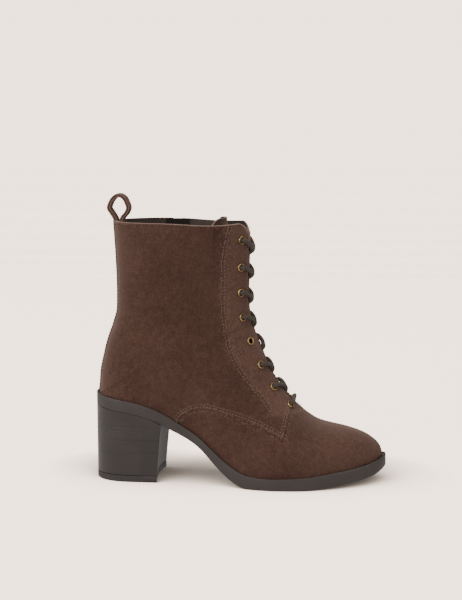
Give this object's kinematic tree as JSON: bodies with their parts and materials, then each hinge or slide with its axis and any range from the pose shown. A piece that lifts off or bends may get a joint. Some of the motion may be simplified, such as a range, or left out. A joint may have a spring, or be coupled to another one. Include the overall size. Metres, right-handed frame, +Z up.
{
  "type": "lace-up ankle boot",
  "caption": "Right suede ankle boot with a block heel, brass eyelets, round laces, a pull loop at the back and a zip on the inner side.",
  "frame": {"origin": "on the floor, at the middle of the heel's top piece", "axes": "+X towards the toe, +Y towards the inner side of the foot, +Z up"},
  "size_m": [0.249, 0.0866, 0.2445],
  "materials": {
    "suede": "brushed nap",
    "tongue_suede": "brushed nap",
    "sole": "satin",
    "heel": "satin, stacked look",
    "top_piece": "matt",
    "insole": "matt",
    "strap_suede": "brushed nap",
    "loop_suede": "brushed nap",
    "eyelet_brass": "antique, worn rim",
    "lace": "braided",
    "zip_tape": "woven",
    "zip_metal": "antique"
  },
  "bodies": {
    "boot": {"outsole": "sole", "heel_block": "heel", "heel_top_piece": "top_piece", "insole": "insole", "upper": "suede", "tongue": "tongue_suede", "back_strap": "strap_suede", "pull_loop": "loop_suede", "zip_tape": "zip_tape", "zip_chain": "zip_metal", "zip_slider": "zip_metal", "eyelet_outer_1": "eyelet_brass", "eyelet_outer_2": "eyelet_brass", "eyelet_outer_3": "eyelet_brass", "eyelet_outer_4": "eyelet_brass", "eyelet_outer_5": "eyelet_brass", "eyelet_outer_6": "eyelet_brass", "eyelet_outer_7": "eyelet_brass", "eyelet_outer_8": "eyelet_brass", "eyelet_inner_1": "eyelet_brass", "eyelet_inner_2": "eyelet_brass", "eyelet_inner_3": "eyelet_brass", "eyelet_inner_4": "eyelet_brass", "eyelet_inner_5": "eyelet_brass", "eyelet_inner_6": "eyelet_brass", "eyelet_inner_7": "eyelet_brass", "eyelet_inner_8": "eyelet_brass", "lace_crossing_1": "lace", "lace_crossing_2": "lace", "lace_crossing_3": "lace", "lace_crossing_4": "lace", "lace_crossing_5": "lace", "lace_crossing_6": "lace", "lace_crossing_7": "lace", "lace_bar": "lace"},
    "zip_pull": {"zip_pull": "zip_metal"}
  },
  "joints": [
    {"name": "zip_pull_hinge", "type": "hinge", "parent": "boot", "child": "zip_pull", "pos_m": [0.03775, 0.0399, 0.21223], "axis": [1, 0, 0], "range_deg": [0, 160]}
  ]
}
